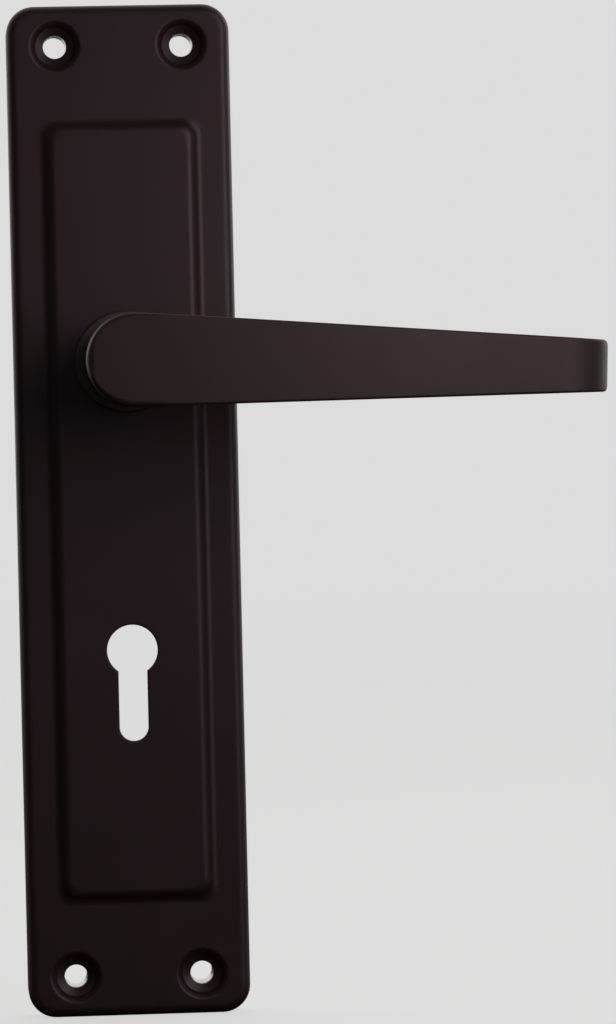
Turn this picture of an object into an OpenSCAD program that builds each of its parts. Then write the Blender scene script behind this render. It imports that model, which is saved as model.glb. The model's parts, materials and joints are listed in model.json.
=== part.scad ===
// Door lever handle on a long cover plate, in millimetres.
// The origin is on the spindle axis at the door's face. +Z is up, the handle faces -Y and
// the lever points to +X. Every piece is drawn in the door plane, with x to the right, y up
// and z as the height above the door, and facing() then stands it upright.

/* [Cover plate] */
// Width of the cover plate
plate_w = 44; // [42:0.5:60]
// Height of the cover plate
plate_h = 200; // [190:1:260]
// Height of the plate's border above the door
plate_depth = 10; // [10:0.1:12]
// Thickness of the pressed steel sheet
sheet = 1.2; // [1:0.1:1.4]
// Radius of the plate's corners, seen from the front
plate_corner = 5.5; // [4:0.1:7]
// Radius of the shoulder between the face and the side walls
shoulder = 2; // [1.6:0.1:2.4]
// Distance from the plate's top edge down to the spindle axis
spindle_drop = 70.4; // [66:0.1:80]

/* [Raised panel] */
// Width of the panel, between the middle lines of its sloping edges
panel_w = 29; // [28.5:0.1:32]
// Height of the panel, between the middle lines of its sloping edges
panel_h = 152.6; // [150:0.1:156]
// Height of the panel above the border
panel_raise = 1.6; // [1:0.1:2]
// Width of the sloping edge between the border and the panel
panel_slope = 1.8; // [1.4:0.1:2.2]
// Radius of the panel's corners, on the middle line of the edge
panel_corner = 2.8; // [2.7:0.1:5]

/* [Screw holes] */
// Distance between the screw holes across the plate
screw_gap_x = 25; // [24:0.5:26]
// Distance between the screw holes along the plate
screw_gap_y = 184; // [180:1:186]
// Diameter of the screw holes
screw_d = 4.6; // [4.2:0.1:5]

/* [Keyhole] */
// Distance from the spindle axis down to the centre of the keyhole's round top
key_drop = 57; // [50:1:62]
// Diameter of the keyhole's round top
key_d = 10; // [8:0.5:12]
// Width of the keyhole's slot
key_slot = 5.7; // [4:0.1:7]
// Height of the whole keyhole
key_h = 23; // [18:1:26]

/* [Lever] */
// Length of the lever from the spindle axis to its tip
lever_reach = 91; // [80:1:120]
// Diameter of the lever's round head
head_d = 18; // [17:0.5:20]
// Height of the lever at its tip
tip_h = 10; // [8:0.1:14]
// Thickness of the lever's grip, front to back
grip_t = 8; // [7:0.5:9]
// Length of the curve that takes the tip's front back towards the door
tip_round = 10; // [6:0.5:14]
// Radius of the edges at the head's end
head_round = 1.6; // [1:0.1:3]
// Height of the lever's front face above the door
lever_front = 53; // [48:1:60]
// Diameter of the neck
neck_d = 16; // [16:0.1:16.4]
// Angle that the lever hangs below level at rest
rest_droop = 2; // [0:0.5:3]

/* [Turning mechanism] */
// Turn from rest to the lower stop
turn_range = 42; // [30:1:45]
// Side of the square spindle
spindle_side = 8; // [7:1:8]
// Length of the spindle
spindle_length = 75; // [60:5:120]
// Diameter of the spring wire
spring_wire = 1.6; // [1.4:0.1:1.6]
// Turns in the return spring
spring_turns = 2; // [1:1:2]
// Distance of the two housing studs from the spindle axis
stud_offset = 21; // [20:0.5:24]

/* [Hidden] */
$fn = 96;

// Gaps: between a shaft and its bush, and between pieces that sit in each other
run_gap = 0.05;
seat_gap = 0.05;
// Extra length on every cutting solid, so that it passes the face it opens
cut = 1;

painted = "#221d1f";
nylon = "#1b1a1a";
zinc_plate = "#a9abad";
spring_steel = "#6d7074";

plate_mid_y = spindle_drop - plate_h / 2;
inner_face = plate_depth - sheet;
panel_face = plate_depth + panel_raise;
panel_inner = inner_face + panel_raise;
// How far the slope's inner side lies inside its outer side, for an even sheet
slope_inset = sheet * tan(atan(panel_raise / panel_slope) / 2);

// Dish round each screw hole: radii from the rim inwards, and depths below the face
dish_rim = 5.2;
dish_wall_top = 4.4;
dish_wall_foot = 3.9;
dish_lip_depth = 0.45;
dish_wall_depth = 1.3;
dish_depth = 2.2;
dish_back_rim = 6;
dish_back_foot = 4.9;
dish_back_flat = 4.3;
dish_back_depth = dish_depth + sheet;
sleeve_d = 8.4;

// Neck and the tail behind it, which has two flats all along
neck_r = neck_d / 2;
tail_r = 7;
tail_flat = 12.8;
tail_end = 0.5;
grip_back = lever_front - grip_t;

// Heights above the door of the stack on the tail, from the door outwards
clip_z = 3.1;
clip_t = 1;
wave_t = 0.6;
cam_z = clip_z + clip_t + wave_t;
cam_t = 1.6;
neck_foot = cam_z + cam_t;
thrust_t = 0.6;
thrust_r = 9.2;
thrust_gap = 0.1;
bush_end = neck_foot + thrust_t + thrust_gap;

// Front bush
bush_r = neck_r + 1.3;
bush_flange_r = neck_r + 2;
bush_flange_t = 1.2;
bush_lip_r = neck_r + 1.9;
bush_lip_t = 1.1;
bush_lip_z = panel_inner - bush_lip_t;
bush_bevel = 0.4;
lid_gap = 0.3;

// Housing cup and its lid
cup_floor_z = 0.8;
cup_sheet = 1;
lid_t = 0.8;
lid_z = 7.1;
cup_rim_z = lid_z - cup_sheet;
cup_inner_r = 14.8;
cup_outer_r = cup_inner_r + cup_sheet;
cup_flange_r = 17.5;
ear_r = 5;
ear_neck = 10;
spring_leg_slot = 2.1;

// Rear bush
rear_r = tail_r + 1.4;
rear_flange_r = 9.1;
rear_flange_t = 0.8;

// Circlip
clip_groove = 0.3;
clip_outer_r = 8.7;
clip_gap = 5;
clip_eye_r = 0.6;
clip_eye_at = [3.7, -7.9];
clip_lug_at = [3.6, -7.7];
clip_lug_r = 1.5;
clip_side_gap = 0.02;
clip_turn = 110;

// Stop pins, and the spring's path round them
pin_d = 2.4;
pin_ring = 10.6;
pin_angles = [90, 270];
cam_r = 11.9;
stop_slack = 0.5;
pin_gap = 0.1;
leg_gap = 0.3;
spring_ring = 13.3;
spring_end_gap = 0.1;
spring_foot_z = cup_floor_z + cup_sheet + spring_end_gap + spring_wire / 2;
spring_top_z = lid_z - 2 * spring_end_gap - spring_wire / 2;
spring_pitch = (spring_top_z - spring_foot_z) / spring_turns;
leg_angle = 190;
leg_in = 9.9;
leg_out = 16.6;
spring_sides = 10;
spring_steps = 32;

// Studs, washers and nuts that carry the housing
stud_r = 2;
stud_collar_r = 3.5;
stud_end = 2.2;
washer_t = 0.7;
washer_r = 3.8;
nut_t = 2.4;
nut_flats = 7;

// Grub screw in the underside of the neck
grub_r = 2.5;
grub_length = 3.6;
grub_z = 19;
grub_hex_flats = 2.5;
grub_hex_depth = 2;
socket_side = spindle_side + 2 * seat_gap;
socket_gap = 1;
spindle_front = 32;
spindle_bevel = 0.6;

// ---------------------------------------------------------------- shared shapes

module facing() {
    rotate([90, 0, 0]) children();
}

// A solid between two heights above the door
module layer(z_low, z_high) {
    translate([0, 0, z_low]) linear_extrude(z_high - z_low) children();
}

module ring_2d(outer, inner) {
    difference() {
        circle(outer);
        circle(inner);
    }
}

module rounded_rect(w, h, r) {
    square([w - 2 * r, h], center = true);
    square([w, h - 2 * r], center = true);
    for (x = [-1, 1], y = [-1, 1])
        translate([x * (w / 2 - r), y * (h / 2 - r)]) circle(r);
}

// A 2D section swept round a rounded rectangle. The section's x is measured outwards from
// the path, whose corners have radius r, and its y is the height.
module swept_frame(w, h, r) {
    for (side = [0, 1, 2, 3]) {
        along = side % 2 == 0 ? h : w;
        across = side % 2 == 0 ? w : h;
        rotate(side * 90) {
            translate([across / 2, along / 2 - r, 0])
                rotate([90, 0, 0]) linear_extrude(along - 2 * r) children();
            translate([across / 2 - r, along / 2 - r, 0])
                rotate_extrude(angle = 90) translate([r, 0]) children();
        }
    }
}

// A rounded block whose top edge is rounded over by the radius "edge"
module soft_block(w, h, corner, height, edge) {
    layer(0, height - edge) rounded_rect(w, h, corner);
    layer(0, height) rounded_rect(w - 2 * edge, h - 2 * edge, corner - edge);
    swept_frame(w - 2 * edge, h - 2 * edge, corner - edge)
        intersection() {
            translate([0, height - edge]) circle(edge);
            translate([0, height - edge]) square(edge);
        }
}

module at_screws() {
    for (x = [-1, 1], y = [-1, 1])
        translate([x * screw_gap_x / 2, plate_mid_y + y * screw_gap_y / 2, 0]) children();
}

module at_studs() {
    for (y = [-1, 1]) translate([0, y * stud_offset, 0]) children();
}

module at_pins() {
    for (a = pin_angles) rotate(a) translate([pin_ring, 0, 0]) children();
}

// The tail's outline: a circle with two flats
module tail_2d(gap) {
    intersection() {
        circle(tail_r + gap);
        square([tail_flat + 2 * gap, 4 * tail_r], center = true);
    }
}

// ---------------------------------------------------------------- plate side

// A block with sloping sides whose foot stands at the height "level". It reaches down by
// "below", so that it joins what it stands on.
module panel_block(inset, level, below) {
    w = panel_w - panel_slope - 2 * inset;
    h = panel_h - panel_slope - 2 * inset;
    corner = panel_corner - panel_slope / 2 - inset;
    translate([0, plate_mid_y, 0]) {
        layer(level - below, level + panel_raise) rounded_rect(w, h, corner);
        swept_frame(w, h, corner) polygon([
            [0, level - below], [panel_slope, level - below],
            [panel_slope, level], [0, level + panel_raise]
        ]);
    }
}

module keyhole_2d() {
    slot_end_y = -key_drop + key_d / 2 - key_h + key_slot / 2;
    translate([0, -key_drop]) circle(key_d / 2);
    translate([0, slot_end_y]) circle(key_slot / 2);
    translate([-key_slot / 2, slot_end_y]) square([key_slot, -key_drop - slot_end_y]);
}

// The dish seen from the front, cut from the face down to the hole
module dish_cut() {
    rotate_extrude() polygon([
        [0, plate_depth + cut],
        [dish_rim, plate_depth + cut],
        [dish_rim, plate_depth],
        [dish_wall_top, plate_depth - dish_lip_depth],
        [dish_wall_foot, plate_depth - dish_wall_depth],
        [screw_d / 2, plate_depth - dish_depth],
        [0, plate_depth - dish_depth]
    ]);
}

// The same dish seen from the back, as a boss on the sheet's inner face
module dish_back() {
    rotate_extrude() polygon([
        [0, plate_depth - sheet / 2],
        [dish_back_rim, plate_depth - sheet / 2],
        [dish_back_rim, inner_face],
        [dish_back_foot, plate_depth - dish_wall_depth - sheet],
        [dish_back_flat, plate_depth - dish_back_depth],
        [0, plate_depth - dish_back_depth]
    ]);
}

module cover_plate() {
    color(painted) facing() difference() {
        union() {
            difference() {
                translate([0, plate_mid_y, 0])
                    soft_block(plate_w, plate_h, plate_corner, plate_depth, shoulder);
                translate([0, plate_mid_y, 0]) layer(-cut, inner_face)
                    rounded_rect(plate_w - 2 * sheet, plate_h - 2 * sheet, plate_corner - sheet);
            }
            panel_block(0, plate_depth, sheet / 2);
            at_screws() dish_back();
        }
        panel_block(slope_inset, inner_face, sheet);
        at_screws() dish_cut();
        at_screws() layer(0, plate_depth) circle(screw_d / 2);
        layer(0, panel_face + cut) keyhole_2d();
        layer(0, panel_face + cut) circle(bush_r + seat_gap);
    }
}

module screw_sleeves() {
    color(zinc_plate) facing() at_screws()
        layer(0, plate_depth - dish_back_depth) ring_2d(sleeve_d / 2, screw_d / 2);
}

module weld_studs() {
    color(zinc_plate) facing() at_studs() {
        layer(lid_z + lid_t, panel_inner) circle(stud_collar_r);
        layer(stud_end, lid_z + lid_t) circle(stud_r);
    }
}

module lock_washers() {
    color(zinc_plate) facing() at_studs()
        layer(cup_rim_z - washer_t, cup_rim_z) ring_2d(washer_r, stud_r + seat_gap);
}

module hex_nuts() {
    nut_top = cup_rim_z - washer_t;
    color(zinc_plate) facing() at_studs() layer(nut_top - nut_t, nut_top) difference() {
        circle(nut_flats / 2 / cos(30), $fn = 6);
        circle(stud_r);
    }
}

module bearing_bush() {
    color(nylon) facing() difference() {
        rotate_extrude() polygon([
            [0, bush_end],
            [bush_r, bush_end],
            [bush_r, bush_lip_z],
            [bush_lip_r, bush_lip_z + bush_bevel],
            [bush_lip_r, panel_inner - seat_gap],
            [bush_r, panel_inner - seat_gap],
            [bush_r, panel_face],
            [bush_flange_r, panel_face],
            [bush_flange_r, panel_face + bush_flange_t - bush_bevel],
            [bush_flange_r - bush_bevel, panel_face + bush_flange_t],
            [0, panel_face + bush_flange_t]
        ]);
        layer(0, 2 * panel_face) circle(neck_r + run_gap);
    }
}

// Outline shared by the lid and the cup's flange: a disc with an ear at each stud
module housing_outline() {
    circle(cup_flange_r);
    at_studs() circle(ear_r);
    square([ear_neck, 2 * stud_offset], center = true);
}

module housing_lid() {
    color(zinc_plate) facing() difference() {
        layer(lid_z, lid_z + lid_t) housing_outline();
        layer(0, plate_depth) circle(bush_lip_r + lid_gap);
        at_studs() layer(0, plate_depth) circle(stud_r + seat_gap);
        at_pins() layer(0, plate_depth) circle(pin_d / 2);
    }
}

module spring_housing() {
    slot_foot = cup_floor_z + cup_sheet;
    slot_top = spring_foot_z + spring_leg_slot / 2;
    color(zinc_plate) facing() difference() {
        union() {
            layer(cup_floor_z, lid_z) circle(cup_outer_r);
            layer(cup_rim_z, lid_z) housing_outline();
        }
        layer(slot_foot, plate_depth) circle(cup_inner_r);
        layer(-cut, plate_depth) circle(rear_r + seat_gap);
        at_studs() layer(0, plate_depth) circle(stud_r + seat_gap);
        at_pins() layer(0, plate_depth) circle(pin_d / 2);
        rotate(leg_angle) translate([cup_inner_r - cut, -spring_leg_slot / 2, slot_foot])
            cube([cup_sheet + 2 * cut, spring_leg_slot, slot_top - slot_foot]);
    }
}

module stop_pins() {
    color(spring_steel) facing() at_pins()
        layer(cup_floor_z, lid_z + lid_t) circle(pin_d / 2);
}

module rear_bush() {
    flange_z = cup_floor_z + cup_sheet;
    color(nylon) facing() difference() {
        union() {
            layer(tail_end, flange_z) circle(rear_r);
            layer(flange_z, flange_z + rear_flange_t) circle(rear_flange_r);
        }
        layer(0, plate_depth) circle(tail_r + run_gap);
    }
}

// Points along the spring wire: the outer leg, the coil and the inner leg
coil_steps = spring_turns * spring_steps;
function at_angle(r, a, z) = [r * cos(a), r * sin(a), z];
function wire_path() = concat(
    [at_angle(leg_out, leg_angle, spring_foot_z)],
    [for (i = [0:coil_steps])
        at_angle(spring_ring, leg_angle - 360 * i / spring_steps,
            spring_foot_z + spring_pitch * i / spring_steps)],
    [at_angle(leg_in, leg_angle, spring_top_z)]
);

function unit(v) = v / norm(v);
function path_tangent(p, i) = unit(p[min(i + 1, len(p) - 1)] - p[max(i - 1, 0)]);

// One ring of points round the path at point i, square to its tangent
function wire_ring(p, i, r) =
    let (t = path_tangent(p, i), u = unit(cross(t, [0, 0, 1])), v = cross(u, t))
    [for (k = [0:spring_sides - 1])
        let (a = 360 * k / spring_sides) p[i] + r * (cos(a) * u + sin(a) * v)];

function wire_faces(rings) = concat(
    [[for (k = [0:spring_sides - 1]) k]],
    [for (i = [0:rings - 2], k = [0:spring_sides - 1])
        let (a = i * spring_sides + k, b = i * spring_sides + (k + 1) % spring_sides)
        each [[a, a + spring_sides, b], [b, a + spring_sides, b + spring_sides]]],
    [[for (k = [spring_sides - 1:-1:0]) (rings - 1) * spring_sides + k]]
);

module return_spring() {
    path = wire_path();
    points = [for (i = [0:len(path) - 1]) each wire_ring(path, i, spring_wire / 2)];
    color(spring_steel) facing() polyhedron(points, wire_faces(len(path)));
}

// ---------------------------------------------------------------- lever side

// Front view of the grip: a round head and a straight taper to the tip
module grip_front_2d() {
    tip_corner = 1.1;
    circle(head_d / 2);
    polygon([
        [0, head_d / 2], [lever_reach - tip_corner, tip_h / 2],
        [lever_reach, tip_h / 2 - tip_corner], [lever_reach, tip_corner - tip_h / 2],
        [lever_reach - tip_corner, -tip_h / 2], [0, -head_d / 2]
    ]);
}

// Top view of the grip: a bar with soft edges at the head's end and a front that curves back
// at the tip
module grip_top_2d() {
    tip_back = 0.8;
    tip_depth = grip_t - 1.5 * tip_back;
    steps = 14;
    head_end = -head_d / 2;
    body = head_end + head_round;
    tip = [for (i = [0:steps]) let (t = sin(90 * i / steps))
        [lever_reach - tip_round * (1 - t),
         lever_front - tip_depth * (1 - sqrt(max(1 - pow(t, 1.6), 0)))]];
    polygon(concat(tip, [
        [lever_reach, grip_back + tip_back], [lever_reach - tip_back, grip_back],
        [body, grip_back], [body, lever_front]
    ]));
    translate([lever_reach - tip_back, grip_back + tip_back]) circle(tip_back);
    translate([head_end, grip_back + head_round])
        square([2 * head_round, grip_t - 2 * head_round]);
    for (z = [grip_back + head_round, lever_front - head_round])
        translate([body, z]) circle(head_round);
}

module lever() {
    color(painted) facing() difference() {
        union() {
            rotate(-rest_droop) intersection() {
                layer(grip_back, lever_front) grip_front_2d();
                rotate([90, 0, 0]) translate([0, 0, -head_d]) linear_extrude(2 * head_d)
                    grip_top_2d();
            }
            layer(neck_foot, grip_back + grip_t / 2) circle(neck_r);
            layer(tail_end, neck_foot) tail_2d(0);
        }
        layer(clip_z, clip_z + clip_t) ring_2d(2 * tail_r, tail_r - clip_groove);
        rotate(-rest_droop) {
            layer(-cut, spindle_front + socket_gap) square(socket_side, center = true);
            translate([0, 0, grub_z]) rotate([90, 0, 0]) cylinder(r = grub_r, h = neck_d);
        }
    }
}

module thrust_washer() {
    color(nylon) facing() layer(neck_foot, neck_foot + thrust_t)
        ring_2d(thrust_r, neck_r + seat_gap);
}

// Angles of the rim cut-out that each stop pin travels in, from the pin's place at rest
pin_half_angle = asin(pin_d / 2 / pin_ring);
slot_low = -pin_half_angle - stop_slack;
slot_high = turn_range + pin_half_angle + stop_slack;

module wedge_2d(low, high, inner, outer) {
    steps = 8;
    far = outer / cos((high - low) / steps / 2);
    difference() {
        polygon(concat([[0, 0]],
            [for (i = [0:steps]) let (a = low + (high - low) * i / steps)
                [far * cos(a), far * sin(a)]]));
        circle(inner);
    }
}

module cam_plate() {
    leg_notch = spring_wire + leg_gap;
    color(spring_steel) facing() layer(cam_z, cam_z + cam_t) difference() {
        circle(cam_r);
        tail_2d(seat_gap);
        for (a = pin_angles) rotate(a)
            wedge_2d(slot_low, slot_high, pin_ring - pin_d / 2 - pin_gap, cam_r + cut);
        rotate(leg_angle) translate([leg_in - leg_gap, -leg_notch / 2])
            square([cam_r, leg_notch]);
    }
}

// A thin ring with three waves, which pushes the cam plate against the neck's foot
module wave_washer() {
    waves = 3;
    steps = 36;
    stock = 0.3;
    swing = (wave_t - stock) / 2;
    inner = tail_r + 2 * seat_gap;
    outer = clip_outer_r;
    points = [for (i = [0:steps - 1])
        let (a = 360 * i / steps, z = clip_z + clip_t + wave_t / 2 + swing * sin(waves * a))
        each [at_angle(inner, a, z - stock / 2), at_angle(outer, a, z - stock / 2),
              at_angle(outer, a, z + stock / 2), at_angle(inner, a, z + stock / 2)]];
    faces = [for (i = [0:steps - 1], k = [0:3])
        let (j = (i + 1) % steps, n = (k + 1) % 4)
        each [[4 * i + k, 4 * i + n, 4 * j + k], [4 * i + n, 4 * j + n, 4 * j + k]]];
    color(spring_steel) facing() polyhedron(points, faces);
}

module circlip() {
    color(spring_steel) facing() rotate(clip_turn)
        layer(clip_z + clip_side_gap, clip_z + clip_t - clip_side_gap) difference() {
            union() {
                circle(clip_outer_r);
                for (x = [-1, 1]) translate([x * clip_lug_at[0], clip_lug_at[1]])
                    circle(clip_lug_r);
            }
            circle(tail_r - clip_groove + seat_gap);
            translate([-clip_gap / 2, -2 * tail_r]) square([clip_gap, 2 * tail_r]);
            for (x = [-1, 1]) translate([x * clip_eye_at[0], clip_eye_at[1]])
                circle(clip_eye_r);
        }
}

// Side view of the spindle, with both ends bevelled
module spindle_side_2d() {
    back = spindle_front - spindle_length;
    half = spindle_side / 2;
    polygon([
        [-half + spindle_bevel, back], [half - spindle_bevel, back],
        [half, back + spindle_bevel], [half, spindle_front - spindle_bevel],
        [half - spindle_bevel, spindle_front], [-half + spindle_bevel, spindle_front],
        [-half, spindle_front - spindle_bevel], [-half, back + spindle_bevel]
    ]);
}

module spindle() {
    color(zinc_plate) facing() rotate(-rest_droop) intersection() {
        rotate([90, 0, 0]) linear_extrude(spindle_side, center = true) spindle_side_2d();
        rotate([90, 0, 90]) linear_extrude(spindle_side, center = true) spindle_side_2d();
    }
}

module grub_screw() {
    top = -spindle_side / 2;
    color(spring_steel) facing() rotate(-rest_droop)
        translate([0, top, grub_z]) rotate([90, 0, 0]) difference() {
            cylinder(r = grub_r, h = grub_length);
            translate([0, 0, grub_length - grub_hex_depth])
                cylinder(r = grub_hex_flats / 2 / cos(30), h = grub_hex_depth + cut, $fn = 6);
        }
}

cover_plate();
screw_sleeves();
weld_studs();
lock_washers();
hex_nuts();
bearing_bush();
housing_lid();
spring_housing();
stop_pins();
rear_bush();
return_spring();
lever();
thrust_washer();
cam_plate();
wave_washer();
circlip();
spindle();
grub_screw();
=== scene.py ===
"""Looks of the door lever handle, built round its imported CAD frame.

Shapes are drawn in the door plane in millimetres: x to the right, z up and h the height above
the door. A point (x, z, h) is the frame point (x, -h, z), and finished meshes are in metres.
"""

import json
import math

import bmesh
import bpy
import numpy as np
from mathutils import Matrix, Vector
from mathutils.geometry import delaunay_2d_cdt


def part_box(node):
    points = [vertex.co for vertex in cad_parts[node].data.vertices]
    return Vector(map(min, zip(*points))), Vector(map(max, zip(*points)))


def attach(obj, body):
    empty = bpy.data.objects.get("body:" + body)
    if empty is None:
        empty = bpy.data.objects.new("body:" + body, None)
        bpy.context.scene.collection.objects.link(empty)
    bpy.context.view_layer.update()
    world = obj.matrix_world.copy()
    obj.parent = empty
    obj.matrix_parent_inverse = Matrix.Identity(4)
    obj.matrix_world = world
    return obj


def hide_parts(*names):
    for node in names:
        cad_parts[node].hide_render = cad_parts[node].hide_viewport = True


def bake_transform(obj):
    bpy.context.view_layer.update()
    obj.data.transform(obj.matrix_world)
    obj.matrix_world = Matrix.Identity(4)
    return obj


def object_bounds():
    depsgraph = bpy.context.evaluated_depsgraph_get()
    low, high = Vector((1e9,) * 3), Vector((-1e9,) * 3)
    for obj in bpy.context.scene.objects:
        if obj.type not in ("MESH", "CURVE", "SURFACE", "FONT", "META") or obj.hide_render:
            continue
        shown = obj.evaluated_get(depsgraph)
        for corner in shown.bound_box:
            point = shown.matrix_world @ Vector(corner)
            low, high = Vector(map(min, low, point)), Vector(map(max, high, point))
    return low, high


MM = 0.001
# Outline points are rounded to this many digits, and flatter triangles than this are left out
DIGITS = 6
SLIVER = 1e-4
MERGE_GAP = 1e-4

# ---------------------------------------------------------------- sizes in mm

SHEET = 1.2
PLATE_CORNER = 5.5
SHOULDER = 2.0
RIM_ROUND = 0.25
INNER_ROUND = 0.8

PANEL_W = 29.0
PANEL_H = 152.6
PANEL_CORNER = 2.8
PANEL_RAISE = 1.6
STEP_HALF = 1.6

SCREW_GAP_X = 25.0
SCREW_GAP_Z = 184.0
HOLE_R = 2.3

KEY_Z = -57.0
KEY_R = 5.0
KEY_SLOT = 5.7
KEY_H = 23.0

BUSH_HOLE_R = 9.35
BUSH_BORE_R = 8.05
BUSH_SLEEVE_R = 9.3
BUSH_LIP_R = 9.9
BUSH_FLANGE_R = 10.0
BUSH_FLANGE_T = 1.2
BUSH_LIP_T = 1.1

HEAD_R = 9.0
HEAD_ROUND = 1.6
TIP_HALF = 5.0
TIP_CORNER = 1.1
# The rounding at the tip: its length and depth at the front, how early it starts, and its back
TIP_LENGTH = 10.0
TIP_DEPTH = 6.8
TIP_POWER = 1.6
TIP_BACK = 0.8
GRIP_T = 8.0
# Radii of the grip's long edges at the head and along the shank, and where they change over
FRONT_EDGE = (1.3, 0.5)
BACK_EDGE = (0.8, 1.8)
EDGE_CHANGE = (-4, 12)
REST_DROOP = math.radians(2)
NECK_R = 8.0
NECK_FOOT = 6.3
TAIL_R = 7.0
TAIL_HALF_FLAT = 6.4
TAIL_END = 0.5
# The circlip's groove: its lower and upper height, and its depth
GROOVE = (3.1, 4.1, 0.3)
SOCKET_HALF = 4.05
SOCKET_END = 33.0
GRUB_R = 2.5
GRUB_H = 19.0

SPRING_WIRE_R = 0.8
SPRING_RING = 13.3
SPRING_TURNS = 2
SPRING_FOOT_H = 2.7
SPRING_TOP_H = 6.1
SPRING_LEG_ANGLE = math.radians(190)
SPRING_LEG_IN = 9.9
SPRING_LEG_OUT = 16.6

# ---------------------------------------------------------------- outlines and profiles


def box_mm(node):
    """Lowest and highest (x, z, h) of a CAD node, in mm."""
    low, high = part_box(node)
    return Vector((low.x, low.z, -high.y)) / MM, Vector((high.x, high.z, -low.y)) / MM


def arc(centre, radius, start, end, steps):
    """Points on an arc, both ends included, with angles in radians."""
    turn = [start + (end - start) * i / steps for i in range(steps + 1)]
    return [(centre[0] + radius * math.cos(a), centre[1] + radius * math.sin(a)) for a in turn]


def rounded(points, radii, steps=6):
    """A polyline whose inner corners are rounded by the radii given for them."""
    line = [points[0]]
    for before, corner, after, radius in zip(points, points[1:], points[2:], radii):
        here = Vector(corner)
        back, ahead = (Vector(before) - here).normalized(), (Vector(after) - here).normalized()
        half = back.angle(ahead) / 2
        middle = here + (back + ahead).normalized() * (radius / math.sin(half))
        start = here + back * (radius / math.tan(half)) - middle
        turn = start.angle_signed(here + ahead * (radius / math.tan(half)) - middle)
        for i in range(steps + 1):
            line.append(tuple(middle + Matrix.Rotation(-turn * i / steps, 2) @ start))
    return line + [points[-1]]


def rounded_rect(half_w, half_h, radius, middle=0.0):
    """Outline of a rounded rectangle, with the same number of points at every size."""
    corner_steps, side_steps = 12, (10, 64)
    centres = [(1, 1), (-1, 1), (-1, -1), (1, -1)]
    outline = []
    for k, (sx, sz) in enumerate(centres):
        centre = (sx * (half_w - radius), middle + sz * (half_h - radius))
        outline += arc(centre, radius, k * math.pi / 2, (k + 1) * math.pi / 2, corner_steps)
        nx, nz = centres[(k + 1) % 4]
        turn = (k + 1) * math.pi / 2
        away = Vector((math.cos(turn), math.sin(turn))) * radius
        end = Vector((nx * (half_w - radius), middle + nz * (half_h - radius))) + away
        start = Vector(outline[-1])
        count = side_steps[k % 2]
        outline += [tuple(start.lerp(end, i / count)) for i in range(1, count)]
    return outline


def circle(radius, centre=(0.0, 0.0), steps=64):
    return arc(centre, radius, 0, 2 * math.pi * (steps - 1) / steps, steps - 1)


def keyhole(offset):
    """Outline of the keyhole moved outwards by the offset: a round top and a slot."""
    round_r, slot_r = KEY_R + offset, KEY_SLOT / 2 + offset
    foot_z = KEY_Z + KEY_R - KEY_H + KEY_SLOT / 2
    meet = math.asin(slot_r / round_r)
    top = arc((0, KEY_Z), round_r, meet - math.pi / 2, 1.5 * math.pi - meet, 60)
    foot = arc((0, foot_z), slot_r, math.pi, 2 * math.pi, 28)
    side = [(top[-1][1] + (foot_z - top[-1][1]) * i / 10) for i in range(1, 10)]
    left = [(-slot_r, z) for z in side]
    right = [(slot_r, z) for z in reversed(side)]
    return top + left + foot + right


# ---------------------------------------------------------------- mesh building


def ring(bm, outline, h):
    """A loop of vertices. Rounding keeps a straight side's points exactly in line."""
    return [bm.verts.new((round(x, DIGITS), -h, round(z, DIGITS))) for x, z in outline]


def strip(bm, a, b):
    """Quads between two loops of the same length."""
    for i in range(len(a)):
        j = (i + 1) % len(a)
        bm.faces.new((a[i], a[j], b[j], b[i]))


def sweep(bm, outline, profile):
    """Loops at each (offset, h) of the profile, joined by strips. Returns the end loops."""
    loops = [ring(bm, outline(offset), h) for offset, h in profile]
    for a, b in zip(loops, loops[1:]):
        strip(bm, a, b)
    return loops[0], loops[-1]


def closed_sweep(bm, outline, profile):
    """A ring-shaped solid: the same as sweep, with its last loop joined to its first."""
    first, last = sweep(bm, outline, profile)
    strip(bm, last, first)


def inside(points, polygon):
    """Which of the points lie in the polygon, by counting the edges to their right."""
    result = np.zeros(len(points), bool)
    for (x1, z1), (x2, z2) in zip(polygon, np.roll(polygon, -1, axis=0)):
        if z1 != z2:
            spans = (z1 > points[:, 1]) != (z2 > points[:, 1])
            result ^= spans & (points[:, 0] < x1 + (x2 - x1) * (points[:, 1] - z1) / (z2 - z1))
    return result


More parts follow.
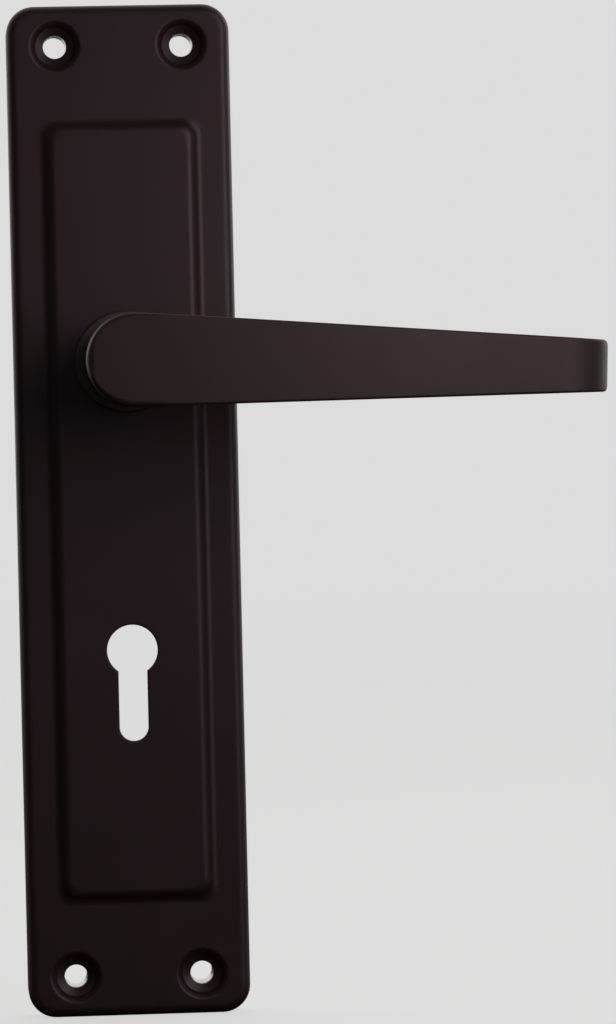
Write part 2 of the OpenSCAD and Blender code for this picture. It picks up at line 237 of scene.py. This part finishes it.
def fill(bm, outer, holes, spacing=3.0):
    """A flat face between a loop and the loops of its holes, as even triangles."""
    loops = (outer, *holes)
    border = [v for loop in loops for v in loop]
    flat = np.array([(v.co.x, v.co.z) for v in border])
    polygons = [np.array([(v.co.x, v.co.z) for v in loop]) for loop in loops]

    def in_face(points):
        result = inside(points, polygons[0])
        for polygon in polygons[1:]:
            result &= ~inside(points, polygon)
        return result

    low, high = flat.min(0), flat.max(0)
    rows = np.arange(low[1], high[1], spacing * math.sqrt(3) / 2)
    grid = np.array([
        (x + spacing / 2 * (k % 2), z)
        for k, z in enumerate(rows)
        for x in np.arange(low[0], high[0], spacing)
    ])
    grid = grid[in_face(grid)]
    gaps = np.linalg.norm(grid[:, None] - flat[None], axis=2).min(1)
    grid = grid[gaps > spacing * 0.6]
    edges, start = [], 0
    for loop in loops:
        edges += [(start + i, start + (i + 1) % len(loop)) for i in range(len(loop))]
        start += len(loop)
    points = [Vector(p) for p in np.vstack([flat, grid])]
    found, _, faces, origins, _, _ = delaunay_2d_cdt(points, edges, [], 0, 1e-6)
    y = outer[0].co.y
    verts = [
        border[o[0]] if o and o[0] < len(border) else bm.verts.new((p.x, y, p.y))
        for p, o in zip(found, origins)
    ]
    middles = np.array([sum((found[i] for i in f), Vector((0, 0))) / 3 for f in faces])
    for face, keep in zip(faces, in_face(middles)):
        a, b, c = (found[i] for i in face)
        if keep and abs((b - a).cross(c - a)) > SLIVER:
            bm.faces.new([verts[i] for i in face])


def cap(bm, loop, point):
    """A fan of triangles from a loop to one point."""
    tip = bm.verts.new(point)
    for i in range(len(loop)):
        bm.faces.new((loop[i], loop[(i + 1) % len(loop)], tip))


def to_object(bm, name):
    """The finished mesh as an object in metres, with its faces turned outwards."""
    bmesh.ops.remove_doubles(bm, verts=bm.verts, dist=MERGE_GAP)
    bmesh.ops.recalc_face_normals(bm, faces=bm.faces)
    bmesh.ops.scale(bm, vec=(MM,) * 3, verts=bm.verts)
    mesh = bpy.data.meshes.new(name)
    bm.to_mesh(mesh)
    bm.free()
    obj = bpy.data.objects.new(name, mesh)
    bpy.context.scene.collection.objects.link(obj)
    return obj


def smooth(obj, angle=35.0):
    """Smooth shading with flat faces kept flat, and hard edges only where they are sharp."""
    obj.data.shade_smooth()
    obj.data.set_sharp_from_angle(angle=math.radians(angle))
    normals = obj.modifiers.new("normals", "WEIGHTED_NORMAL")
    normals.keep_sharp = True
    return obj


def apply_modifiers(obj):
    """The object's mesh becomes what its modifiers make of it."""
    graph = bpy.context.evaluated_depsgraph_get()
    mesh = bpy.data.meshes.new_from_object(obj.evaluated_get(graph))
    obj.modifiers.clear()
    obj.data = mesh
    return obj


def combine(obj, tool, operation):
    """Exact Boolean of obj with the tool object, which is removed."""
    boolean = obj.modifiers.new("boolean", "BOOLEAN")
    boolean.operation, boolean.object, boolean.solver = operation, tool, "EXACT"
    apply_modifiers(obj)
    bpy.data.objects.remove(tool)
    return obj


# ---------------------------------------------------------------- the cover plate


def step_profile(raise_h, half):
    """The S-shaped step from the border up to the panel, as (offset, height, slope) points."""
    slope = 2 * math.atan2(raise_h, 2 * half)
    radius = half / math.sin(slope)
    steps = 10
    turns = [slope * i / steps for i in range(steps + 1)]
    foot = [(half - radius * math.sin(t), radius * (1 - math.cos(t)), t) for t in turns]
    head = [
        (-half + radius * math.sin(t), raise_h - radius * (1 - math.cos(t)), t)
        for t in reversed(turns[:-1])
    ]
    return foot + head


def make_cover_plate():
    low, high = box_mm("cover_plate")
    middle = (low.y + high.y) / 2
    half_w, half_h = (high.x - low.x) / 2, (high.y - low.y) / 2
    panel = high.z
    border = panel - PANEL_RAISE
    inner, panel_inner = border - SHEET, panel - SHEET
    collar = 0.4

    def plate_outline(inset):
        return rounded_rect(half_w - inset, half_h - inset, PLATE_CORNER - inset, middle)

    def panel_outline(offset):
        corner = PANEL_CORNER + 0.2 * offset
        return rounded_rect(PANEL_W / 2 + offset, PANEL_H / 2 + offset, corner, middle)

    bm = bmesh.new()
    shell = rounded(
        [(SHOULDER + collar, inner), (SHEET, inner), (SHEET, 0), (0, 0), (0, border),
         (SHOULDER + collar, border)],
        [INNER_ROUND, RIM_ROUND, RIM_ROUND, SHOULDER], steps=10)
    back_border, front_border = sweep(bm, plate_outline, shell)

    step = step_profile(PANEL_RAISE, STEP_HALF)
    flat_ends = STEP_HALF + collar
    front = [(flat_ends, border)] + [(o, border + h) for o, h, _ in step] + [(-flat_ends, panel)]
    under = [(flat_ends, inner)] + [
        (o - SHEET * math.sin(t), border + h - SHEET * math.cos(t)) for o, h, t in step
    ] + [(-flat_ends, panel_inner)]
    front_foot, front_top = sweep(bm, panel_outline, front)
    back_foot, back_top = sweep(bm, panel_outline, under)

    dish = rounded(
        [(5.5, border), (4.95, border), (4.3, border - 0.55), (3.9, border - 1.45),
         (HOLE_R, border - 2.15), (HOLE_R, border - 3.4), (4.3, border - 3.4),
         (4.6, border - 2.4), (5.1, inner), (5.5, inner)],
        [0.9, 0.5, 0.3, 0.15, 0.1, 0.4, 0.6, 0.3], steps=5)
    dishes = [
        sweep(bm, lambda r, at=(sx * SCREW_GAP_X / 2, middle + sz * SCREW_GAP_Z / 2):
              circle(r, at), dish)
        for sx in (-1, 1) for sz in (-1, 1)
    ]
    bush_front, bush_back = sweep(bm, circle, rounded(
        [(BUSH_HOLE_R + 0.5, panel), (BUSH_HOLE_R, panel), (BUSH_HOLE_R, panel_inner),
         (BUSH_HOLE_R + 0.5, panel_inner)], [0.2, 0.1], steps=3))
    key_front, key_back = sweep(bm, keyhole, rounded(
        [(0.7, panel), (0, panel), (0, panel_inner), (0.5, panel_inner)], [0.3, 0.1], steps=5))

    fill(bm, front_border, [front_foot] + [front_loop for front_loop, _ in dishes])
    fill(bm, front_top, [bush_front, key_front])
    fill(bm, back_border, [back_foot] + [back_loop for _, back_loop in dishes])
    fill(bm, back_top, [bush_back, key_back])
    return smooth(to_object(bm, "plate_shell"))


# ---------------------------------------------------------------- the lever


def grip_stations():
    """Places along the grip, from the head's end to the tip, closer together where it curves."""
    foot = box_reach() - TIP_LENGTH
    head = [-HEAD_R * math.cos(math.radians(a)) for a in range(3, 91, 3)]
    shank = [foot * i / 28 for i in range(1, 29)]
    tip = [foot + TIP_LENGTH * math.sin(math.radians(a)) for a in range(3, 89, 3)]
    return head + shank + tip + [foot + TIP_LENGTH]


def box_reach():
    """Length of the grip from the spindle axis to its tip, measured along the grip."""
    _, high = box_mm("lever")
    return round((high.x - TIP_HALF * math.sin(REST_DROOP)) / math.cos(REST_DROOP), 1)


def grip_section(x, reach):
    """Half height, back, front, front edge radius and back edge radius of the grip at x."""
    taper = HEAD_R + (TIP_HALF - HEAD_R) * x / (reach - TIP_CORNER)
    half_h = math.sqrt(max(HEAD_R ** 2 - x * x, 0))
    if x > 0:
        half_h = max(taper, half_h)
    past = x - (reach - TIP_CORNER)
    if past > 0:
        half_h -= TIP_CORNER - math.sqrt(max(TIP_CORNER ** 2 - past ** 2, 0))
    into_head = min(max(HEAD_ROUND - HEAD_R - x, 0), HEAD_ROUND)
    half_t = GRIP_T / 2 - HEAD_ROUND + math.sqrt(HEAD_ROUND ** 2 - into_head ** 2)
    into_tip = min(max(1 - (reach - x) / TIP_LENGTH, 0), 1)
    into_back = max(x - (reach - TIP_BACK), 0)
    front = half_t - TIP_DEPTH * (1 - math.sqrt(1 - into_tip ** TIP_POWER))
    back = -half_t + TIP_BACK - math.sqrt(max(TIP_BACK ** 2 - into_back ** 2, 0))
    start, end = EDGE_CHANGE
    shank = min(max((x - start) / (end - start), 0), 1)
    shank = shank * shank * (3 - 2 * shank)
    front_edge, back_edge = (
        at_head + (at_shank - at_head) * shank for at_head, at_shank in (FRONT_EDGE, BACK_EDGE)
    )
    largest = min(half_h, (front - back) / 2)
    return half_h, back, front, min(front_edge, largest), min(back_edge, largest)


def section_outline(half_h, back, front, front_edge, back_edge):
    """(z, depth) points round a grip section. The depth is positive towards the front."""
    corners = [(1, front - front_edge, front_edge), (-1, front - front_edge, front_edge),
               (-1, back + back_edge, back_edge), (1, back + back_edge, back_edge)]
    arcs = []
    for k, (sz, depth, radius) in enumerate(corners):
        centre = (sz * (half_h - radius), depth)
        arcs.append(arc(centre, radius, k * math.pi / 2, (k + 1) * math.pi / 2, 7))
    outline = []
    for k, points in enumerate(arcs):
        start, end = Vector(points[-1]), Vector(arcs[(k + 1) % 4][0])
        count = 8 if k % 2 == 0 else 4
        outline += points + [tuple(start.lerp(end, i / count)) for i in range(1, count)]
    return outline


def make_grip():
    _, high = box_mm("lever")
    middle_h = high.z - GRIP_T / 2
    reach = box_reach()
    bm = bmesh.new()
    loops = []
    for x in grip_stations():
        outline = section_outline(*grip_section(x, reach))
        loops.append([bm.verts.new((x, -(middle_h + depth), z)) for z, depth in outline])
    for a, b in zip(loops, loops[1:]):
        strip(bm, a, b)
    cap(bm, loops[0], (-HEAD_R, -middle_h, 0))
    cap(bm, loops[-1], sum((v.co for v in loops[-1]), Vector()) / len(loops[-1]))
    bmesh.ops.remove_doubles(bm, verts=bm.verts, dist=MERGE_GAP)
    bmesh.ops.dissolve_degenerate(bm, edges=bm.edges, dist=MERGE_GAP)
    bmesh.ops.rotate(bm, verts=bm.verts, matrix=Matrix.Rotation(REST_DROOP, 3, "Y"))
    return to_object(bm, "lever_casting")


def make_neck():
    """The round neck and the flatted tail, as one closed solid that ends inside the grip."""
    _, high = box_mm("lever")
    neck_top = high.z - GRIP_T / 2
    low_h, high_h, depth = GROOVE
    profile = rounded(
        [(2.0, TAIL_END), (TAIL_R, TAIL_END), (TAIL_R, low_h), (TAIL_R - depth, low_h),
         (TAIL_R - depth, high_h), (TAIL_R, high_h), (TAIL_R, NECK_FOOT), (NECK_R, NECK_FOOT),
         (NECK_R, neck_top), (2.0, neck_top)],
        [0.3, 0.02, 0.02, 0.02, 0.02, 0.02, 0.3, 0.5], steps=4)
    bm = bmesh.new()
    first, last = sweep(bm, lambda r: circle(r, steps=120), profile)
    cap(bm, first, (0, -TAIL_END, 0))
    cap(bm, last, (0, -neck_top, 0))
    neck = to_object(bm, "neck")
    for side in (-1, 1):
        near, far = sorted((side * TAIL_HALF_FLAT, side * 2 * TAIL_R))
        flat = block("flat", (near, -TAIL_R, 0), (far, TAIL_R, NECK_FOOT), 0)
        combine(neck, flat, "DIFFERENCE")
    return neck


def block(name, low, high, droop=REST_DROOP):
    """A plain cutting block between two corners, given as (x, z, h)."""
    bm = bmesh.new()
    bmesh.ops.create_cube(bm, size=1)
    for v in bm.verts:
        place = (v.co.x, v.co.z, -v.co.y)
        x, z, h = [(a + b) / 2 + p * (b - a) for a, b, p in zip(low, high, place)]
        v.co = (x, -h, z)
    bmesh.ops.rotate(bm, verts=bm.verts, matrix=Matrix.Rotation(droop, 3, "Y"))
    return to_object(bm, name)


def rod(name, radius, start, end, h):
    """A plain cutting rod along z at the height h."""
    bm = bmesh.new()
    loops = [
        [bm.verts.new((x, y - h, z)) for x, y in circle(radius, steps=48)] for z in (start, end)
    ]
    strip(bm, *loops)
    for loop in loops:
        bm.faces.new(loop)
    bmesh.ops.rotate(bm, verts=bm.verts, matrix=Matrix.Rotation(REST_DROOP, 3, "Y"))
    return to_object(bm, name)


def make_lever():
    lever = combine(make_grip(), make_neck(), "UNION")
    half = SOCKET_HALF
    combine(lever, block("socket", (-half, -half, -1), (half, half, SOCKET_END)), "DIFFERENCE")
    combine(lever, rod("grub_hole", GRUB_R, -2 * NECK_R, 0, GRUB_H), "DIFFERENCE")
    return smooth(lever, angle=40)


# ---------------------------------------------------------------- smaller pieces


def make_bearing_bush():
    low, high = box_mm("bearing_bush")
    seat = high.z - BUSH_FLANGE_T
    lip_top = seat - SHEET - 0.05
    lip_foot = lip_top - BUSH_LIP_T + 0.05
    profile = rounded(
        [(BUSH_BORE_R, (low.z + high.z) / 2), (BUSH_BORE_R, low.z), (BUSH_SLEEVE_R, low.z),
         (BUSH_SLEEVE_R, lip_foot), (BUSH_LIP_R, lip_foot + 0.45), (BUSH_LIP_R, lip_top),
         (BUSH_SLEEVE_R, lip_top), (BUSH_SLEEVE_R, seat), (BUSH_FLANGE_R, seat),
         (BUSH_FLANGE_R, high.z), (BUSH_BORE_R, high.z), (BUSH_BORE_R, (low.z + high.z) / 2)],
        [0.15, 0.3, 0.1, 0.2, 0.1, 0.1, 0.05, 0.1, 0.5, 0.2], steps=5)[:-1]
    bm = bmesh.new()
    closed_sweep(bm, lambda r: circle(r, steps=96), profile)
    return smooth(to_object(bm, "flanged_bush"))


def make_return_spring():
    """Round wire: the outer leg, the coil and the inner leg. Faces cross in the two tight bends."""
    coil_steps = 64 * SPRING_TURNS
    span = SPRING_TOP_H - SPRING_FOOT_H

    def at(radius, angle, h):
        return Vector((radius * math.cos(angle), -h, radius * math.sin(angle)))

    path = [at(SPRING_LEG_OUT - 0.4 * i, SPRING_LEG_ANGLE, SPRING_FOOT_H) for i in range(8)]
    path += [
        at(SPRING_RING, SPRING_LEG_ANGLE - 2 * math.pi * SPRING_TURNS * i / coil_steps,
           SPRING_FOOT_H + span * i / coil_steps)
        for i in range(1, coil_steps)
    ]
    path += [
        at(SPRING_RING - (SPRING_RING - SPRING_LEG_IN) * i / 8, SPRING_LEG_ANGLE, SPRING_TOP_H)
        for i in range(1, 9)
    ]
    sides = 14
    bm = bmesh.new()
    loops = []
    for i, point in enumerate(path):
        along = (path[min(i + 1, len(path) - 1)] - path[max(i - 1, 0)]).normalized()
        across = along.cross(Vector((0, 1, 0))).normalized()
        up = across.cross(along)
        loops.append([
            bm.verts.new(point + SPRING_WIRE_R * (across * math.cos(t) + up * math.sin(t)))
            for t in (2 * math.pi * k / sides for k in range(sides))
        ])
    for a, b in zip(loops, loops[1:]):
        strip(bm, a, b)
    cap(bm, loops[0], path[0])
    cap(bm, loops[-1], path[-1])
    return smooth(to_object(bm, "coil_spring"), angle=60)


def soften(node, width, angle=30.0):
    """Bevels a CAD node's sharp edges a little by modifiers, and flags its mesh as smooth."""
    weld = node.modifiers.new("weld", "WELD")
    weld.merge_threshold = 1e-6
    bevel = node.modifiers.new("bevel", "BEVEL")
    bevel.width, bevel.segments = width * MM, 2
    bevel.limit_method, bevel.angle_limit = "ANGLE", math.radians(angle)
    node.data.shade_smooth()
    normals = node.modifiers.new("normals", "WEIGHTED_NORMAL")
    normals.weight = 80


# ---------------------------------------------------------------- materials


class Look:
    """A material on one Principled shader, with helpers that add noise to its inputs."""

    def __init__(self, name, colour, roughness, metallic=0.0):
        self.material = bpy.data.materials.new(name)
        self.material.use_nodes = True
        self.nodes = self.material.node_tree.nodes
        self.links = self.material.node_tree.links
        self.shader = self.nodes["Principled BSDF"]
        self.shader.inputs["Base Color"].default_value = (*colour, 1)
        self.shader.inputs["Roughness"].default_value = roughness
        self.shader.inputs["Metallic"].default_value = metallic
        self.place = self.nodes.new("ShaderNodeTexCoord").outputs["Object"]

    def noise(self, scale, detail=3.0, stretch=(1, 1, 1)):
        """Noise in object space. The scale is in waves per millimetre."""
        mapping = self.nodes.new("ShaderNodeMapping")
        mapping.inputs["Scale"].default_value = [s / MM for s in stretch]
        texture = self.nodes.new("ShaderNodeTexNoise")
        texture.inputs["Scale"].default_value = scale
        texture.inputs["Detail"].default_value = detail
        self.links.new(self.place, mapping.inputs["Vector"])
        self.links.new(mapping.outputs["Vector"], texture.inputs["Vector"])
        return texture.outputs["Fac"]

    def ramp(self, factor, stops):
        """A colour ramp over the factor. Stops are (position, colour)."""
        node = self.nodes.new("ShaderNodeValToRGB")
        elements = node.color_ramp.elements
        while len(elements) < len(stops):
            elements.new(0.5)
        for element, (position, colour) in zip(elements, stops):
            element.position, element.color = position, (*colour, 1)
        self.links.new(factor, node.inputs["Fac"])
        return node.outputs["Color"]

    def spread(self, factor, low, high, start=0.3, end=0.7):
        """Maps the factor's usual span onto low to high."""
        node = self.nodes.new("ShaderNodeMapRange")
        for name, value in (
            ("From Min", start), ("From Max", end), ("To Min", low), ("To Max", high)
        ):
            node.inputs[name].default_value = value
        self.links.new(factor, node.inputs["Value"])
        return node.outputs["Result"]

    def drive(self, socket, source):
        self.links.new(source, self.shader.inputs[socket])

    def bump(self, layers):
        """Adds up bumps: each layer is (height source, depth in mm, strength)."""
        normal = None
        for source, depth, strength in layers:
            node = self.nodes.new("ShaderNodeBump")
            node.inputs["Strength"].default_value = strength
            node.inputs["Distance"].default_value = depth * MM
            self.links.new(source, node.inputs["Height"])
            if normal is not None:
                self.links.new(normal, node.inputs["Normal"])
            normal = node.outputs["Normal"]
        self.drive("Normal", normal)


def painted(name, colour, sheen, roughness, peel):
    """Satin paint: a tinted sheen, faint mottling, a fine orange peel and a finer grain."""
    look = Look(name, colour, roughness)
    look.shader.inputs["Specular Tint"].default_value = (*sheen, 1)
    dark = tuple(c * 0.92 for c in colour)
    light = tuple(c * 1.08 for c in colour)
    look.drive("Base Color", look.ramp(look.noise(0.05, 4), [(0.3, dark), (0.7, light)]))
    look.drive("Roughness", look.spread(look.noise(0.2, 4), roughness - 0.02, roughness + 0.03))
    look.bump([(look.noise(0.9, 2), peel, 0.25), (look.noise(6, 2), peel * 0.2, 0.2)])
    return look.material


def nylon(name, colour):
    look = Look(name, colour, 0.55)
    dark = tuple(c * 0.8 for c in colour)
    light = tuple(c * 1.25 for c in colour)
    look.drive("Base Color", look.ramp(look.noise(0.4, 3), [(0.3, dark), (0.7, light)]))
    look.drive("Roughness", look.spread(look.noise(1.2, 3), 0.48, 0.62))
    look.bump([(look.noise(5, 3), 0.01, 0.3)])
    return look.material


def plated(name, dark, light, roughness, grain):
    """Metal with drawn lines along the frame's Y axis and cloudy patches."""
    look = Look(name, light, roughness, metallic=1.0)
    look.drive("Base Color", look.ramp(look.noise(0.15, 4), [(0.3, dark), (0.7, light)]))
    lines = look.noise(3.0, 4, stretch=(1, 0.04, 1))
    look.drive("Roughness", look.spread(lines, roughness - 0.07, roughness + 0.08))
    look.bump([(lines, grain, 0.25), (look.noise(1.5, 3), grain, 0.2)])
    return look.material


def make_materials():
    return {
        "painted_steel": painted(
            "satin_paint_plate", (0.024, 0.011, 0.0115), (1.0, 0.77, 0.87), 0.45, 0.012),
        "painted_cast": painted(
            "satin_paint_lever", (0.024, 0.012, 0.0115), (1.0, 0.77, 0.85), 0.45, 0.010),
        "black_nylon": nylon("black_nylon", (0.05, 0.036, 0.028)),
        "zinc_steel": plated("zinc_plate", (0.5, 0.51, 0.53), (0.66, 0.67, 0.66), 0.3, 0.006),
        "spring_steel": plated("spring_steel", (0.2, 0.2, 0.21), (0.33, 0.33, 0.34), 0.38, 0.006),
    }


def dress(obj, material):
    obj.data.materials.clear()
    obj.data.materials.append(material)


# ---------------------------------------------------------------- stage, light and camera


def make_camera():
    """Just left of the handle and almost square to the door, a metre away."""
    yaw, pitch, roll = (math.radians(a) for a in (4.32, -1.24, -1.29))
    forward = Vector((math.sin(yaw) * math.cos(pitch), math.cos(yaw) * math.cos(pitch),
                      math.sin(pitch)))
    level = Vector((math.cos(yaw), -math.sin(yaw), 0))
    right = Matrix.Rotation(roll, 3, -forward) @ level
    up = right.cross(forward)
    data = bpy.data.cameras.new("camera")
    data.lens, data.sensor_width = 117.4, 24
    camera = bpy.data.objects.new("camera", data)
    turn = Matrix((right, up, -forward)).transposed().to_4x4()
    camera.matrix_world = Matrix.Translation((-0.0393, -1.0, -0.0091)) @ turn
    bpy.context.scene.collection.objects.link(camera)
    bpy.context.scene.camera = camera


def area_light(name, at, width, height, radiance, colour=(1, 1, 1)):
    """A soft flat light of the given radiance that faces the handle and isn't seen itself."""
    data = bpy.data.lights.new(name, "AREA")
    data.shape, data.size, data.size_y = "RECTANGLE", width, height
    data.energy, data.color = math.pi * width * height * radiance, colour
    light = bpy.data.objects.new(name, data)
    light.location = at
    light.rotation_euler = (Vector((0.01, 0, 0)) - Vector(at)).to_track_quat("-Z", "Y").to_euler()
    light.visible_camera = False
    bpy.context.scene.collection.objects.link(light)


def make_floor():
    """A pale floor under the plate that fades into the surroundings."""
    low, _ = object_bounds()
    bm = bmesh.new()
    rings = [[bm.verts.new((r * x, r * y, 0)) for x, y in circle(1, steps=64)]
             for r in (0.2, 0.6, 1.2, 2.4)]
    for a, b in zip(rings, rings[1:]):
        strip(bm, a, b)
    bm.faces.new(rings[0])
    mesh = bpy.data.meshes.new("floor")
    bm.to_mesh(mesh)
    bm.free()
    floor = bpy.data.objects.new("floor", mesh)
    floor.location = (0, 0, low.z - 0.0002)
    bpy.context.scene.collection.objects.link(floor)

    look = Look("pale_floor", (0.2, 0.2, 0.2), 0.8)
    look.shader.inputs["Specular IOR Level"].default_value = 0
    look.shader.inputs["Emission Color"].default_value = (1, 1, 1, 1)
    look.shader.inputs["Emission Strength"].default_value = 0.62
    length = look.nodes.new("ShaderNodeVectorMath")
    length.operation = "LENGTH"
    look.links.new(look.place, length.inputs[0])
    look.drive("Alpha", look.spread(length.outputs["Value"], 1.0, 0.0, 0.5, 2.2))
    mute(look.nodes, look.links, look.shader, "Material Output", (0.03, 0.03, 0.03, 1))
    dress(floor, look.material)


def mute(nodes, links, shader, output, colour):
    """The camera sees the shader, and the handle's reflections see the darker colour."""
    seen = nodes.new("ShaderNodeLightPath").outputs["Is Camera Ray"]
    mix = nodes.new("ShaderNodeMixShader")
    dim = nodes.new("ShaderNodeBsdfDiffuse")
    dim.inputs["Color"].default_value = colour
    links.new(seen, mix.inputs["Fac"])
    links.new(dim.outputs["BSDF"], mix.inputs[1])
    links.new(shader.outputs["BSDF"], mix.inputs[2])
    links.new(mix.outputs["Shader"], nodes[output].inputs["Surface"])


def make_world():
    """A plain pale backdrop. It lights the handle from behind and leaves the front dark."""
    world = bpy.data.worlds.new("studio")
    world.use_nodes = True
    nodes, links = world.node_tree.nodes, world.node_tree.links
    place = nodes.new("ShaderNodeTexCoord").outputs["Generated"]
    split = nodes.new("ShaderNodeSeparateXYZ")
    links.new(place, split.inputs["Vector"])
    spread = nodes.new("ShaderNodeMapRange")
    spread.interpolation_type = "SMOOTHSTEP"
    for name, value in (("From Min", -0.1), ("From Max", 0.35), ("To Min", 0), ("To Max", 1)):
        spread.inputs[name].default_value = value
    links.new(split.outputs["Y"], spread.inputs["Value"])
    ramp = nodes.new("ShaderNodeValToRGB")
    ramp.color_ramp.elements[0].color = (0.05, 0.048, 0.048, 1)
    ramp.color_ramp.elements[1].color = (0.9, 0.88, 0.86, 1)
    links.new(spread.outputs["Result"], ramp.inputs["Fac"])
    links.new(ramp.outputs["Color"], nodes["Background"].inputs["Color"])
    backdrop = nodes.new("ShaderNodeBackground")
    backdrop.inputs["Color"].default_value = (0.72, 0.72, 0.72, 1)
    mix = nodes.new("ShaderNodeMixShader")
    links.new(nodes.new("ShaderNodeLightPath").outputs["Is Camera Ray"], mix.inputs["Fac"])
    links.new(nodes["Background"].outputs["Background"], mix.inputs[1])
    links.new(backdrop.outputs["Background"], mix.inputs[2])
    links.new(mix.outputs["Shader"], nodes["World Output"].inputs["Surface"])
    bpy.context.scene.world = world


def make_studio():
    make_floor()
    make_world()
    area_light("near_front", (0.08, -0.155, 0.03), 0.08, 0.08, 1.5)
    area_light("right_front", (0.77, -0.92, 0.34), 0.42, 0.84, 2.8, (0.97, 0.98, 1.0))
    area_light("fill_front", (0.10, -1.10, 0.36), 1.5, 0.9, 0.18)
    area_light("right_behind", (0.60, 0.25, 0.2), 0.4, 0.6, 1.2)
    bpy.context.scene.view_settings.view_transform = "Standard"


# ---------------------------------------------------------------- putting it together

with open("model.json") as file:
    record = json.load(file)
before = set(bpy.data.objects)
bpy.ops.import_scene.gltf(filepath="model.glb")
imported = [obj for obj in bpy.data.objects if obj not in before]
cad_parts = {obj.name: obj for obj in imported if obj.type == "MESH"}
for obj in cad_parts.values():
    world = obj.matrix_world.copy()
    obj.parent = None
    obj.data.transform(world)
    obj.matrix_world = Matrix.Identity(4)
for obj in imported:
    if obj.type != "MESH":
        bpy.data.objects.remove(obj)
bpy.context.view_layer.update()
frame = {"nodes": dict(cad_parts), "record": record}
make_camera()
materials = make_materials()

for subpart in frame["record"]["subparts"]:
    dress(frame["nodes"][subpart["node"]], materials[subpart["material_slot"]])

for maker, node, body, slot in (
    (make_cover_plate, "cover_plate", "plate_assembly", "painted_steel"),
    (make_bearing_bush, "bearing_bush", "plate_assembly", "black_nylon"),
    (make_lever, "lever", "lever_assembly", "painted_cast"),
):
    piece = maker()
    dress(piece, materials[slot])
    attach(piece, body)
    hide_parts(node)

spring = make_return_spring()
dress(spring, materials["spring_steel"])
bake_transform(spring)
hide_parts("return_spring")

for node, width in (("spindle", 0.25), ("hex_nuts", 0.2), ("housing_lid", 0.15),
                    ("spring_housing", 0.15), ("lock_washers", 0.1), ("screw_sleeves", 0.1),
                    ("weld_studs", 0.15), ("rear_bush", 0.15), ("circlip", 0.1),
                    ("cam_plate", 0.1), ("thrust_washer", 0.08), ("stop_pins", 0.15),
                    ("grub_screw", 0.1)):
    soften(frame["nodes"][node], width)

make_studio()
